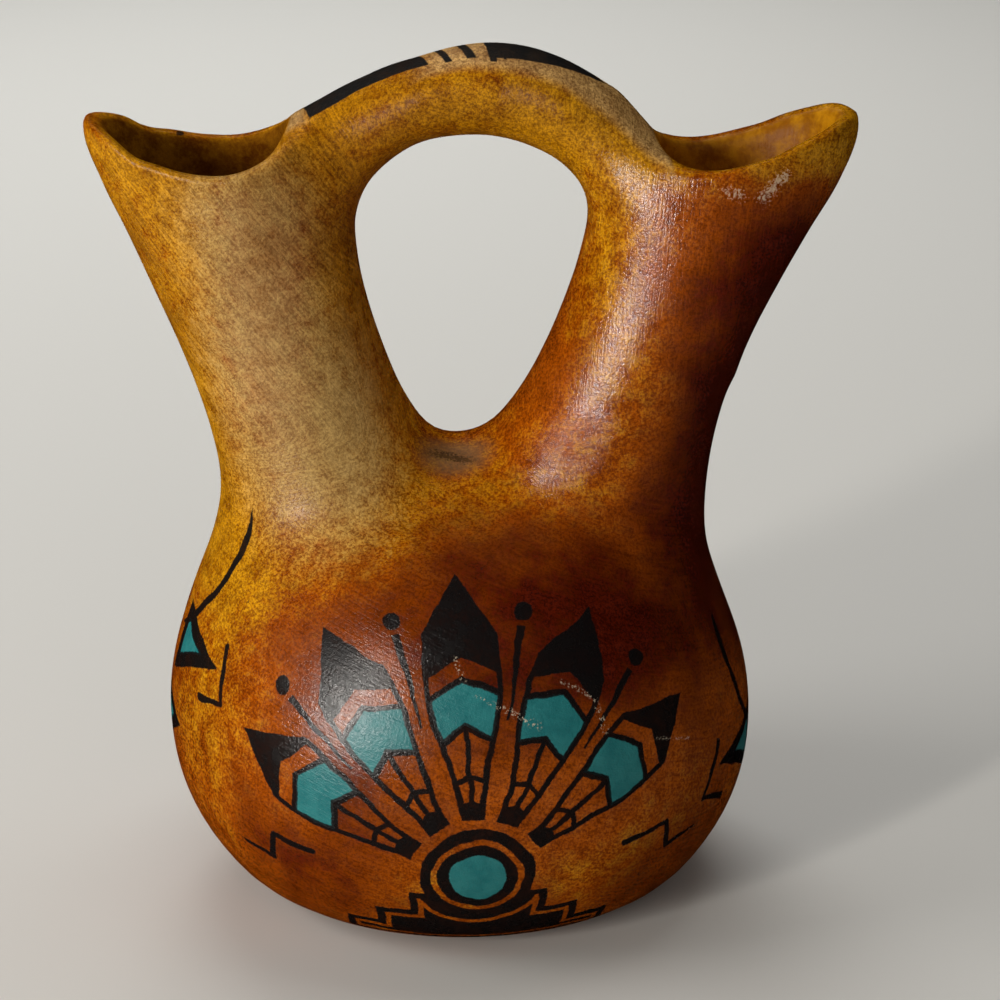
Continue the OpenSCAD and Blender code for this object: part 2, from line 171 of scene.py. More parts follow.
def build(N=192, K=24, MB=(60, 40), M=64, OPEN=44, HN=72, L=10, MR=14):
    """N columns round the belly, K across the saddle between the spouts, M rows up each spout, HN rings along the handle and L rows over each lip. Every block also gets its own rectangle of the map."""
    points, faces, maps, inside = [], [], [], []
    count = [0]

    def add(a, is_inside=0.0):
        a = np.asarray(a, float).reshape(-1, 3)
        points.append(a)
        inside.append(np.full(len(a), is_inside))
        ids = np.arange(count[0], count[0] + len(a))
        count[0] += len(a)
        return ids

    def sheet(grid, rect, flip, closed=True, keep=None):
        """Quads between rows of vertex numbers, with map corners spread over rect."""
        rows, cols = grid.shape
        wide = cols if closed else cols - 1
        r, c = np.meshgrid(np.arange(rows - 1), np.arange(wide), indexing="ij")
        c2 = (c + 1) % cols
        quad = np.stack([grid[r, c], grid[r, c2], grid[r + 1, c2], grid[r + 1, c]], -1)
        x0, y0, x1, y1 = rect
        U = lambda k: x0 + (x1 - x0) * k / wide
        W = lambda k: y0 + (y1 - y0) * k / (rows - 1)
        uv = np.stack([np.stack([U(c), W(r)], -1), np.stack([U(c + 1), W(r)], -1), np.stack([U(c + 1), W(r + 1)], -1), np.stack([U(c), W(r + 1)], -1)], -2)
        quad, uv = quad.reshape(-1, 4), uv.reshape(-1, 4, 2)
        if keep is not None:
            keep = keep.reshape(-1)
            quad, uv = quad[keep], uv[keep]
        if flip:
            quad, uv = quad[:, ::-1], uv[:, ::-1]
        faces.append(quad)
        maps.append(uv)

    S = N // 2 + K
    phi = 2 * np.pi * np.arange(N) / N
    k0 = N // 2
    lips, loops, tri_faces, tri_maps = {}, {}, [], []
    # rectangles of the map: x0, y0, x1, y1
    g = 0.004
    RECT = {
        "body0": (g, g, 1 - g, 0.40), "body1": (g, 0.405, 1 - g, 0.44),
        ("spout0", -1): (g, 0.445, 0.5 - g, 0.70), ("spout0", 1): (0.5 + g, 0.445, 1 - g, 0.70),
        ("lip", -1): (g, 0.705, 0.5 - g, 0.745), ("lip", 1): (0.5 + g, 0.705, 1 - g, 0.745),
        "handle": (g, 0.75, 1 - g, 0.90),
        ("spout1", -1): (g, 0.905, 0.5 - g, 1 - g), ("spout1", 1): (0.5 + g, 0.905, 1 - g, 1 - g),
    }
    for level, is_inner in enumerate((False, True)):
        f, mb = (inner, MB[1]) if is_inner else (outer, MB[0])
        low = FLOOR_T if is_inner else 0.0
        waist = 94.0 if is_inner else 97.0
        c0 = np.array([0, 0, (BELLY_Z + low) / 2])
        nb = mb // 2
        el = -np.pi / 2 * (1 - np.arange(1, nb + 1) / nb)
        d = np.stack([np.cos(el)[:, None] * np.cos(phi), np.cos(el)[:, None] * np.sin(phi), np.sin(el)[:, None] * np.ones(N)], -1)
        rings = [bisect(f, np.broadcast_to(c0, d.shape), d, 0, 120, 18)]
        z = c0[2] + (waist - c0[2]) * np.arange(1, mb - nb + 1) / (mb - nb)
        o = np.zeros((len(z), N, 3))
        o[..., 2] = z[:, None]
        flat = np.stack([np.cos(phi), np.sin(phi), np.zeros(N)], -1)
        rings.append(march(f, o, np.broadcast_to(flat, o.shape), 2.5, 50))
        rings = np.concatenate(rings)
        centre = add(bisect(f, c0[None], np.array([[0, 0, -1.0]]), 0, 60), is_inner)[0]
        grid = add(rings, is_inner).reshape(mb, N)
        rect = RECT[f"body{level}"]
        step = (rect[3] - rect[1]) / mb
        sheet(grid, (rect[0], rect[1] + step, rect[2], rect[3]), is_inner)
        j = np.arange(N)
        tri = np.stack([np.full(N, centre), grid[0, (j + 1) % N], grid[0, j]], -1)
        U = lambda k: rect[0] + (rect[2] - rect[0]) * k / N
        uv = np.stack([np.stack([U(j + 0.5), np.full(N, rect[1])], -1), np.stack([U(j + 1), np.full(N, rect[1] + step)], -1), np.stack([U(j + 0.0), np.full(N, rect[1] + step)], -1)], -2)
        tri_faces.append(tri[:, ::-1] if is_inner else tri)
        tri_maps.append(uv[:, ::-1] if is_inner else uv)
        top, top_p = grid[-1], rings[-1]
        A, B = top_p[N // 4], top_p[3 * N // 4]
        o = np.array([(A[0] + B[0]) / 2, 0, A[2] - 25.0])
        aA, aB = np.arctan2(A[2] - o[2], A[1] - o[1]), np.arctan2(B[2] - o[2], B[1] - o[1])
        ang = aA + (aB - aA) * np.arange(1, K) / K
        saddle = march(f, np.broadcast_to(o, (K - 1, 3)), np.stack([np.zeros(K - 1), np.cos(ang), np.sin(ang)], -1), 1.0, 80)
        i_saddle = add(saddle, is_inner)
        for side in (1, -1):
            jj = ((3 * N // 4 if side == 1 else N // 4) + np.arange(N // 2 + 1)) % N
            turn = slice(None) if side == 1 else slice(None, None, -1)
            ring0 = np.concatenate([top[jj], i_saddle[turn]])
            P0 = np.concatenate([top_p[jj], saddle[turn]])
            xc = lambda z: spouts[side][0](z) * side
            ang0 = np.unwrap(np.arctan2(P0[:, 1], P0[:, 0] - xc(P0[:, 2])))
            mid = N // 4
            tgt = ang0[mid] + (np.arange(S) - mid) * 2 * np.pi / S
            dc = np.stack([np.cos(tgt), np.sin(tgt), np.zeros(S)], -1)

            def core(z):
                c = march(inner, np.stack([xc(z), np.zeros(S), z], -1), dc, 2.0, 20)
                return c + dc * (WALL * 0.5)

            if not is_inner:
                zhi, zlo = np.full(S, 200.0), np.full(S, 160.0)
                for _ in range(18):
                    zm = (zhi + zlo) / 2
                    deep = outer(core(zm)) < -1.25
                    zlo, zhi = np.where(deep, zm, zlo), np.where(deep, zhi, zm)
                Q = core((zhi + zlo) / 2)
                far = np.abs(np.arange(S) - (k0 + K / 2))
                far = np.minimum(far, S - far)
                lift = np.clip((K / 2 + 3.0 - far) / 4.5, 0, 1)
                start = np.radians(72) * lift * lift * (3 - 2 * lift)
                al = start + (np.pi - start) * (np.arange(L + 1) / L)[:, None]
                dd = np.cos(al)[..., None] * dc + np.sin(al)[..., None] * np.array([0, 0, 1.0])
                rows = bisect(whole, np.broadcast_to(Q, dd.shape), dd, 0, 9.0)
                lips[side] = rows
                top_row = rows[0]
            else:
                top_row = lips[side][-1]
            s = (np.arange(M + 1) / M)[:, None]
            w = np.clip(s / 0.6, 0, 1)
            w = w * w * (3 - 2 * w)
            a = ang0 + (tgt - ang0) * w
            z = P0[:, 2] + (top_row[:, 2] - P0[:, 2]) * s
            o = np.stack([xc(z), np.zeros(z.shape), z], -1)
            d = np.stack([np.cos(a), np.sin(a), np.zeros(a.shape)], -1)
            f2 = inner if is_inner else outer_uncut
            rows = np.empty((M + 1, S, 3))
            rows[MR:M] = march(f2, o[MR:M], d[MR:M], 1.5, 40)
            t = (np.arange(1, MR) / MR)[:, None, None]
            rows[1:MR] = project(f, P0 + (rows[MR] - P0) * t, 8)
            high = int(M * 0.7)
            rows[high:M] = project(whole, rows[high:M], 3, 0.6)
            used = np.ones((M + 1, S), bool)
            if not is_inner:
                used[OPEN + 1:M, k0 + 1:k0 + K] = False
            grid = np.full((M + 1, S), -1)
            grid[0] = ring0
            body = used[1:M]
            ids = add(rows[1:M][body], is_inner)
            mid_rows = np.full(body.shape, -1)
            mid_rows[body] = ids
            grid[1:M] = mid_rows
            if not is_inner:
                lip = add(lips[side], 0.0).reshape(L + 1, S)
                half = np.zeros((L + 1, S))
                half[:] = (np.arange(L + 1) / L)[:, None]
                inside[-1] = half.reshape(-1)
                lips[(side, "ids")] = lip
                grid[M] = lip[0]
            else:
                grid[M] = lips[(side, "ids")][-1]
            keep = None
            if not is_inner:
                keep = np.ones((M, S), bool)
                keep[OPEN:, k0:k0 + K] = False
            sheet(grid, RECT[(f"spout{level}", side)], is_inner, keep=keep)
            if not is_inner:
                sheet(lip, RECT[("lip", side)], False)
                kk = (k0 + np.arange(K + 1)) % S
                loops[side] = np.concatenate([grid[M, kk], grid[OPEN:M, kk[-1]][::-1], grid[OPEN, kk[:-1]][::-1], grid[OPEN + 1:M, kk[0]]])
        if not is_inner:
            P = np.concatenate(points)
            n = len(loops[1])
            right = loops[1]
            left = loops[-1][(K - np.arange(n)) % n]
            L0, L1 = P[left], P[right]
            x0, x1 = L0[:, 0].mean(), L1[:, 0].mean()
            th = np.pi * 2 * (K / 2 - np.arange(n)) / n

            def oval(x):
                x = np.asarray(x, float)[..., None]
                slope = arch_z(x + 0.5) - arch_z(x - 0.5)
                c = 1 / np.sqrt(1 + slope * slope)
                ht = arch_t(x)
                return np.stack([x - slope * c * np.cos(th) * ht, np.sin(th) * HANDLE_Y + 0 * x, arch_z(x) + c * np.cos(th) * ht], -1)

            t = np.arange(1, HN) / HN
            b0 = (np.clip(1 - t / 0.42, 0, 1) ** 2)[:, None, None]
            b1 = (np.clip(1 - (1 - t) / 0.42, 0, 1) ** 2)[:, None, None]
            ring = project(outer, oval(x0 + (x1 - x0) * t) + b0 * (L0 - oval(x0)) + b1 * (L1 - oval(x1)), 8)
            grid = np.concatenate([left[None], add(ring).reshape(HN - 1, n), right[None]])
            sheet(grid, RECT["handle"], False)
    P = np.concatenate(points)
    P[:, 2] = np.maximum(P[:, 2], 0.0)
    return P, np.concatenate(faces), np.concatenate(maps), np.concatenate(tri_faces), np.concatenate(tri_maps), np.concatenate(inside)


P, quads, quad_uv, tris, tri_uv, is_inside = build()

mesh = bpy.data.meshes.new("vase_body")
loops = np.concatenate([quads.reshape(-1), tris.reshape(-1)])
sizes = np.concatenate([np.full(len(quads), 4), np.full(len(tris), 3)])
starts = np.concatenate([[0], np.cumsum(sizes)[:-1]])
mesh.vertices.add(len(P))
mesh.vertices.foreach_set("co", (P / 1000).astype(np.float32).reshape(-1))
mesh.loops.add(len(loops))
mesh.loops.foreach_set("vertex_index", loops.astype(np.int32))
mesh.polygons.add(len(sizes))
mesh.polygons.foreach_set("loop_start", starts.astype(np.int32))
mesh.update(calc_edges=True)
mesh.validate()
mesh.polygons.foreach_set("use_smooth", np.ones(len(mesh.polygons), bool))
uv = mesh.uv_layers.new(name="OFBake")
uv.data.foreach_set("uv", np.concatenate([quad_uv.reshape(-1, 2), tri_uv.reshape(-1, 2)]).astype(np.float32).reshape(-1))


# ---------------------------------------------------------------- smooth coordinates for the paint
def smooth(a, b, x):
    t = np.clip((x - a) / (b - a), 0, 1)
    return t * t * (3 - 2 * t)


ray = P - np.array([BELLY_X, 0, BELLY_Z])
ray = ray / np.linalg.norm(ray, axis=1, keepdims=True)


def facing(along, across, up):
    """Distances in mm over the belly from the middle of one face, across and up."""
    a = np.arccos(np.clip(along, -1, 1))
    s = np.hypot(across, up) + 1e-9
    return 68 * a * across / s, 68 * a * up / s


fu, fv = facing(np.abs(ray[:, 1]), ray[:, 0], ray[:, 2])
su, sv = facing(np.abs(ray[:, 0]), -ray[:, 1], ray[:, 2])
sv = sv + np.where(P[:, 0] < 0, 0.0, 26.0)
above = P[:, 2] - arch_z(P[:, 0])
psi = np.degrees(np.arctan2(-P[:, 1], above))
on_handle = smooth(-50, -44, P[:, 0]) * smooth(50, 44, P[:, 0]) * smooth(150, 158, P[:, 2]) * (1 - is_inside)


def store(name, *columns):
    data = np.stack(columns, -1).astype(np.float32)
    attribute = mesh.attributes.new(name, "FLOAT_VECTOR" if len(columns) == 3 else "FLOAT", "POINT")
    attribute.data.foreach_set("vector" if len(columns) == 3 else "value", data.reshape(-1))


store("face_paint", fu, fv, is_inside)
store("side_paint", su, sv, 0 * su)
store("handle_paint", P[:, 0], psi, on_handle)

# soft fields of stain, of painted sheen and of painted shade: where, how far across each way, and how strong
# DARK is dark stain, except the weak field at (24, 0, 150): painted shade along the inner edge of the right spout
# beside the opening under the handle
DARK = [((-74, -4, 152), (9, 20, 26), 0.3), ((30, -50, 80), (26, 30, 20), 1.0), ((62, -14, 98), (14, 30, 38), 0.95), ((72, -2, 146), (9, 22, 28), 0.7), ((80, 6, 170), (12, 18, 12), 0.3), ((57, -12, 126), (10, 24, 24), 0.75), ((65, -12, 157), (9, 22, 12), 0.55), ((24, 0, 150), (4, 16, 26), 0.25), ((-20, -58, 60), (22, 24, 26), 0.45), ((48, 40, 70), (30, 26, 34), 0.8), ((-30, -52, 34), (26, 24, 20), 0.25), ((0, 60, 60), (30, 24, 36), 0.55), ((-60, 20, 50), (20, 30, 30), 0.4), ((2, -46, 84), (26, 20, 14), 0.3), ((46, -44, 22), (22, 24, 20), 0.5), ((-34, -50, 18), (20, 20, 14), 0.45), ((-2, -34, 95), (18, 20, 10), 0.25), ((-58, -14, 130), (8, 14, 22), 0.2)]
GOLD = [((-26, -12, 142), (10, 26, 40), 0.95), ((-20, -14, 116), (12, 24, 16), 0.8), ((-58, -10, 178), (34, 30, 9), 0.9), ((0, 0, 188), (46, 22, 16), 0.9), ((33, -18, 146), (10, 20, 38), 0.62), ((14, -12, 180), (16, 20, 12), 0.8), ((-52, -10, 108), (12, 30, 16), 0.8), ((-74, -6, 160), (10, 24, 16), 0.7), ((-60, -14, 140), (10, 26, 46), 0.9), ((60, -40, 34), (24, 24, 18), 0.25), ((-50, -10, 86), (22, 36, 12), 0.8), ((62, -10, 180), (30, 26, 7), 0.8), ((84, 0, 182), (12, 20, 9), 0.8), ((-58, -32, 54), (20, 20, 30), 0.45), ((0, -30, 104), (22, 24, 12), 0.6), ((20, -58, 22), (50, 20, 14), 0.35), ((0, 40, 110), (60, 30, 30), 0.5)]
# PALE_AND_SHEEN is paler tan clay, and in part a painted sheen: the broad pale patch down the left neck stands for the
# reflection of the window light
PALE_AND_SHEEN = [((-45, -24, 142), (16, 16, 38), 0.9), ((-46, -22, 168), (14, 14, 10), 0.7), ((-32, -32, 106), (15, 20, 12), 0.65), ((-28, -26, 120), (15, 20, 22), 1.0), ((-40, 26, 140), (16, 16, 30), 0.8), ((44, 26, 140), (14, 16, 30), 0.5)]


def fields(blobs):
    total = np.zeros(len(P))
    for at, wide, strong in blobs:
        d = (P - np.array(at)) / np.array(wide)
        total = 1 - (1 - total) * (1 - strong * np.exp(-0.5 * (d * d).sum(1) * 1.4))
    return total


store("stain_sheen_and_shade", fields(DARK), fields(GOLD), fields(PALE_AND_SHEEN))


# ---------------------------------------------------------------- a small language for shader fields
material = bpy.data.materials.new("painted_clay")
material.use_nodes = True
tree = material.node_tree
tree.nodes.clear()
new = tree.nodes.new


class S:
    """A number that a shader field gives."""

    def __init__(self, socket):
        self.socket = socket

    def __add__(self, o): return calc("ADD", self, o)
    def __radd__(self, o): return calc("ADD", o, self)
    def __sub__(self, o): return calc("SUBTRACT", self, o)
    def __rsub__(self, o): return calc("SUBTRACT", o, self)
    def __mul__(self, o): return calc("MULTIPLY", self, o)
    def __rmul__(self, o): return calc("MULTIPLY", o, self)
    def __truediv__(self, o): return calc("DIVIDE", self, o)
    def __neg__(self): return calc("MULTIPLY", self, -1.0)
    def __abs__(self): return calc("ABSOLUTE", self)


def put(socket, value):
    if isinstance(value, S):
        tree.links.new(value.socket, socket)
    elif hasattr(value, "is_output"):
        tree.links.new(value, socket)
    else:
        socket.default_value = value


def calc(op, a, b=None, c=None, clamp=False):
    n = new("ShaderNodeMath")
    n.operation = op
    n.use_clamp = clamp
    put(n.inputs[0], a)
    if b is not None:
        put(n.inputs[1], b)
    if c is not None:
        put(n.inputs[2], c)
    return S(n.outputs[0])


def vcalc(op, a, b=None, scale=None, out=0):
    n = new("ShaderNodeVectorMath")
    n.operation = op
    put(n.inputs[0], a)
    if b is not None:
        put(n.inputs[1], b)
    if scale is not None:
        put(n.inputs[3], scale)
    return n.outputs[out]


def lowest(*a):
    r = a[0]
    for x in a[1:]:
        r = calc("MINIMUM", r, x)
    return r


def highest(*a):
    r = a[0]
    for x in a[1:]:
        r = calc("MAXIMUM", r, x)
    return r


def ramp(x, a, b, lo=0.0, hi=1.0, kind="SMOOTHSTEP"):
    n = new("ShaderNodeMapRange")
    n.interpolation_type = kind
    put(n.inputs[0], x)
    for k, v in zip((1, 2, 3, 4), (a, b, lo, hi)):
        n.inputs[k].default_value = v
    return S(n.outputs[0])


def attribute(name):
    n = new("ShaderNodeAttribute")
    n.attribute_name = name
    return n.outputs["Vector"]


def split(v):
    n = new("ShaderNodeSeparateXYZ")
    put(n.inputs[0], v)
    return [S(o) for o in n.outputs]


def join(x, y, z=0.0):
    n = new("ShaderNodeCombineXYZ")
    for k, v in enumerate((x, y, z)):
        put(n.inputs[k], v)
    return n.outputs[0]


def noise(where, scale, detail=3.0, rough=0.55, kind="FBM", out=0):
    n = new("ShaderNodeTexNoise")
    n.noise_type = kind
    put(n.inputs["Vector"], where)
    n.inputs["Scale"].default_value = scale
    n.inputs["Detail"].default_value = detail
    n.inputs["Roughness"].default_value = rough
    return S(n.outputs[0]) if out == 0 else n.outputs[1]


def blend(factor, a, b, mode="MIX"):
    n = new("ShaderNodeMix")
    n.data_type = "RGBA"
    n.blend_type = mode
    put(n.inputs[0], factor)
    put(n.inputs[6], a)
    put(n.inputs[7], b)
    return n.outputs[2]


def ink(d, soft=0.16):
    """1 inside a shape whose distance is below nought, 0 outside."""
    return ramp(d, soft, -soft)


place = new("ShaderNodeTexCoord").outputs["Object"]
mm = vcalc("SCALE", place, scale=1000.0)
paint = attribute("face_paint")
side = attribute("side_paint")

# a brush edge: slow wander and fine raggedness, in mm
wander = vcalc("SUBTRACT", noise(mm, 0.11, 2.0, out=1), (0.5, 0.5, 0.5))
ragged = vcalc("SUBTRACT", noise(mm, 1.6, 2.0, 0.6, out=1), (0.5, 0.5, 0.5))
shake = vcalc("ADD", vcalc("SCALE", wander, scale=2.6), vcalc("SCALE", ragged, scale=0.55))
paint_w = vcalc("ADD", paint, shake)
side_w = vcalc("ADD", side, shake)


def arc(where, centre, radius, towards, half, width):
    """A tapering brush stroke along part of a circle. towards is the way its middle lies from the centre, in degrees from the right, and half is half its sweep."""
    rel = vcalc("MULTIPLY", vcalc("SUBTRACT", where, (*centre, 0.0)), (1.0, 1.0, 0.0))
    length = S(vcalc("LENGTH", rel, out=1))
    a = math.radians(towards)
    cosine = S(vcalc("DOT_PRODUCT", vcalc("NORMALIZE", rel), (math.cos(a), math.sin(a), 0.0), out=1))
    end = math.cos(math.radians(half))
    taper = ramp(cosine, end, end + (1 - end) * 0.7, -0.9, width)
    return abs(length - radius) - taper


def stroke(where, p, q, w0, w1):
    """A straight brush stroke from p to q, w0 wide at p and w1 at q, as half widths."""
    rel = vcalc("MULTIPLY", vcalc("SUBTRACT", where, (*p, 0.0)), (1.0, 1.0, 0.0))
    dx, dy = q[0] - p[0], q[1] - p[1]
    n2 = dx * dx + dy * dy
    h = calc("MULTIPLY", S(vcalc("DOT_PRODUCT", rel, (dx / n2, dy / n2, 0.0), out=1)), 1.0, clamp=True)
    off = vcalc("SUBTRACT", rel, vcalc("SCALE", (dx, dy, 0.0), scale=h))
    return S(vcalc("LENGTH", off, out=1)) - (h * (w1 - w0) + w0)


def corner_shape(where, *corners):
    """A convex shape with straight sides. Its corners run anticlockwise."""
    out = None
    for i, p in enumerate(corners):
        q = corners[(i + 1) % len(corners)]
        dx, dy = q[0] - p[0], q[1] - p[1]
        n = math.hypot(dx, dy)
        nx, ny = dy / n, -dx / n
        d = S(vcalc("DOT_PRODUCT", where, (nx, ny, 0.0), out=1)) - (nx * p[0] + ny * p[1])
        out = d if out is None else highest(out, d)
    return out


# ---------------------------------------------------------------- the painted design
black, turquoise, bare = [], [], []  # bare is a reserve line that shows the stain inside black

# a fan of feathers on a rising-sun disc and a stepped foot, on the front and again on the back
CX, CY = 4.0, -16.0
u, v, _ = split(paint_w)
pu, pv = u - CX, v - CY
turn = calc("ARCTAN2", pu, pv) + math.radians(4)
far = S(vcalc("LENGTH", join(pu, pv), out=1))
SPREAD = math.radians(29)
which = calc("MAXIMUM", calc("MINIMUM", calc("ROUND", turn / SPREAD), 2.0), -2.0)
local = turn - which * SPREAD
s, t = far * calc("COSINE", local), abs(far * calc("SINE", local))
long = abs(which) * -4.0 + 75.0  # the middle feather is the longest
tip = s - long
chevron = s + t * 0.55
half_width = ramp(s, 15.0, 50.0, 2.8, 9.4)
feather = highest(t - half_width, 16.0 - s, t * 0.86 + tip * 0.52)
feather_black = lowest(
    highest(feather, -(feather + 1.5)),
    highest(feather, 54.5 - chevron),
    highest(feather, abs(chevron - 49.6) - 0.8),
    highest(feather, abs(chevron - 38.0) - 0.9),
    highest(feather, abs(chevron - 27.0) - 0.7),
    highest(feather, chevron - 21.5),
    highest(t - 0.65, 16.0 - s, s - 38.0),
)
feather_blue = highest(feather + 0.8, 38.2 - chevron, chevron - 49.2)
disc_black = lowest(highest(far - 13.6, 10.8 - far), highest(far - 9.4, 6.7 - far))
disc_blue = far - 6.9
apu = abs(pu)
steps = lowest(highest(apu - 34.0, pv + 19.0), highest(apu - 25.0, pv + 12.0), highest(apu - 16.5, pv + 5.0))
steps = highest(steps, -27.5 - pv, 13.4 - far)
step_line = highest(steps + 2.0, -(steps + 3.3))

# thin rays with a dot between the feathers
middle = calc("MAXIMUM", calc("MINIMUM", calc("ROUND", turn / SPREAD - 0.5), 1.0), -2.0) + 0.5
off_ray = turn - middle * SPREAD
rs, rt = far * calc("COSINE", off_ray), abs(far * calc("SINE", off_ray))
rays = lowest(
    highest(rt - ramp(rs, 40.0, 62.0, 0.35, 1.0), 40.0 - rs, rs - 62.0),
    S(vcalc("LENGTH", join(rs - 65.5, rt), out=1)) - 2.3,
)
# a stepped key in thin line on either side below
key = lowest(
    stroke(paint_w, (40.0, -12.0), (52.0, -10.5), 0.9, 0.7),
    stroke(paint_w, (52.0, -10.5), (53.0, -18.0), 0.8, 0.9),
    stroke(paint_w, (53.0, -18.0), (63.0, -17.0), 0.9, 0.4),
    stroke(paint_w, (-36.0, -13.0), (-47.0, -11.5), 0.9, 0.7),
    stroke(paint_w, (-47.0, -11.5), (-48.0, -19.0), 0.8, 0.9),
    stroke(paint_w, (-48.0, -19.0), (-57.0, -18.0), 0.9, 0.4),
)
# two stacked triangles with stepped lines towards each end of the belly, turned over behind
side_x, side_z, _ = split(side_w)
behind = calc("LESS_THAN", side_x, 0.0)
sw = join(abs(side_x), side_z + behind * (side_z * -2.0 + 30.0))
tri_out = corner_shape(sw, (9.0, 31.0), (9.0, 13.0), (35.0, 24.0))
tri_in = corner_shape(sw, (12.0, 27.2), (12.0, 17.4), (26.5, 23.6))
tri_two = corner_shape(sw, (4.0, 9.0), (4.0, -6.0), (22.0, 3.5))
tri_two_in = corner_shape(sw, (6.6, 5.8), (6.6, -2.2), (15.5, 2.8))
side_lines = lowest(
    stroke(sw, (35.0, 30.0), (41.0, 17.0), 0.9, 0.6),
    stroke(sw, (41.0, 17.0), (31.0, 15.0), 0.6, 1.0),
    arc(sw, (-2.0, 46.0), 24.0, -20.0, 62.0, 1.1),
)
outside = ramp(split(paint)[2], 0.02, 0.0)

black_d = lowest(feather_black, disc_black, highest(steps, -step_line), rays, key, highest(tri_out, -(tri_in + 0.6)), highest(tri_two, -(tri_two_in + 0.6)), side_lines)
blue_d = lowest(feather_blue, disc_blue, tri_in + 0.1, tri_two_in + 0.1)

# bands on top of the handle: two blocks, a gap with two slanted strokes
hx, hp, hm = split(vcalc("ADD", attribute("handle_paint"), vcalc("MULTIPLY", shake, (0.5, 3.0, 0.0))))
slant = hx - hp * 0.055
left_edge = abs(hx + 23.0) * 0.30 + 28.5
left_block = highest(-34.6 - hx + hp * 0.05, hx + 8.4 - hp * 0.05, (hp - left_edge) * 0.17, (-34.0 - hp) * 0.17)
right_edge = (hx - 6.0) * (hx - 6.0) * -0.0495 + 38.0
back_edge = ramp(hx, 22.0, 33.0, -34.0, 2.0)
right_block = lowest(
    highest(5.4 - hx + hp * 0.03, hx - 33.0, (hp - right_edge) * 0.17, (back_edge - hp) * 0.17),
    highest(abs(hx - 7.5) - 0.8, (hp - 44.0) * 0.17, (30.0 - hp) * 0.17),
    highest(abs(hx - 10.0) - 0.35, (hp - 39.0) * 0.17, (30.0 - hp) * 0.17),
)
gap_strokes = lowest(abs(slant + 4.35) - 0.82, abs(slant - 0.6) - 0.98)
gap_strokes = highest(gap_strokes, (hp - 38.0) * 0.17, (-34.0 - hp) * 0.17)
band_d = lowest(left_block, right_block, gap_strokes)
band_d = band_d + (1 - ramp(hm, 0.4, 0.6)) * 50.0
# clay left pale round the bands
pale_band = lowest(
    highest((-8.0 - hx) * 0.35, hx - 30.0, (abs(hp) - 52.0) * 0.17),
    highest(26.0 - hx, hx - 47.0, (abs(hp) - 50.0) * 0.17),
    highest(-40.0 - hx, hx + 34.0, (abs(hp) - 34.0) * 0.17),
)
pale_band = ink(pale_band, 1.5) * ramp(hm, 0.3, 0.7)

# ---------------------------------------------------------------- the stained clay, with painted sheen and painted shade
dark, gold, pale = split(attribute("stain_sheen_and_shade"))
x3, y3, z3 = split(mm)
cloud = noise(mm, 0.045, 2.0, 0.6)
mottle = noise(vcalc("ADD", mm, (31.0, 7.0, 3.0)), 0.24, 3.0, 0.68)
patch = noise(vcalc("ADD", mm, (5.0, 41.0, 13.0)), 0.11, 2.0, 0.6)
grain = noise(mm, 1.5, 2.0, 0.85)


left_neck = ramp(x3, -8.0, -24.0) * ramp(z3, 96.0, 118.0)
right_neck = ramp(x3, 8.0, 24.0) * ramp(z3, 100.0, 122.0)
# hair lines left by a scraper: noise drawn out along one way, which differs from part to part
lie_x = left_neck * 0.48 + right_neck * 0.75 + 0.32
lie_z = left_neck * -0.28 + right_neck * -1.00 + 0.90
hair = noise(join((x3 * lie_x + z3 * lie_z) * 2.1, (x3 * lie_z - z3 * lie_x) * 0.11, y3 * 0.12), 1.0, 2.0, 0.7)
push = (cloud - 0.5) * 0.9 + (mottle - 0.5) * 0.75 + (grain - 0.5) * 0.45
dark_f = ramp(dark + push, 0.12, 0.85)
gold_f = ramp(gold + (cloud - 0.5) * -0.6 + (mottle - 0.5) * 1.2 + (grain - 0.5) * 1.0, 0.20, 0.95)
pale_and_sheen_f = ramp(pale + (mottle - 0.5) * 0.45 + (grain - 0.5) * 0.35, 0.25, 1.05)
RUST, OCHRE, MAROON, TAN_AND_SHEEN = (0.37, 0.078, 0.0010, 1), (0.48, 0.215, 0.002, 1), (0.085, 0.0070, 0.0006, 1), (0.45, 0.303, 0.115, 1)
clay = blend(gold_f, RUST, OCHRE)
clay = blend(dark_f, clay, MAROON)
# painted sheen, in part: the pale tan patch laid over the left neck
clay = blend(pale_and_sheen_f * 0.8, clay, TAN_AND_SHEEN)
clay = blend(ramp(hx, 22.0, -14.0) * hm * 0.7, clay, (0.74, 0.66, 0.52, 1), "MULTIPLY")
clay = blend(pale_band * 0.8, clay, (0.48, 0.30, 0.12, 1))
shade = ramp(mottle * 0.55 + patch * 0.29 + hair * 0.16, 0.37, 0.61, 0.0, 1.0, kind="LINEAR")
clay = blend(0.95 - pale_and_sheen_f * 0.50, clay, blend(1.0, clay, blend(shade, (0.60, 0.52, 0.44, 1), (1.16, 1.15, 1.12, 1)), "MULTIPLY"))
freckle = ramp(grain * (0.86 - left_neck * 0.18) + hair * (left_neck * 0.18 + 0.14), 0.40, 0.60, 0.0, 1.0, kind="LINEAR")
clay = blend(0.9 - pale_and_sheen_f * 0.3, clay, blend(freckle, (0.50, 0.44, 0.38, 1), (1.36, 1.36, 1.34, 1)), "MULTIPLY")
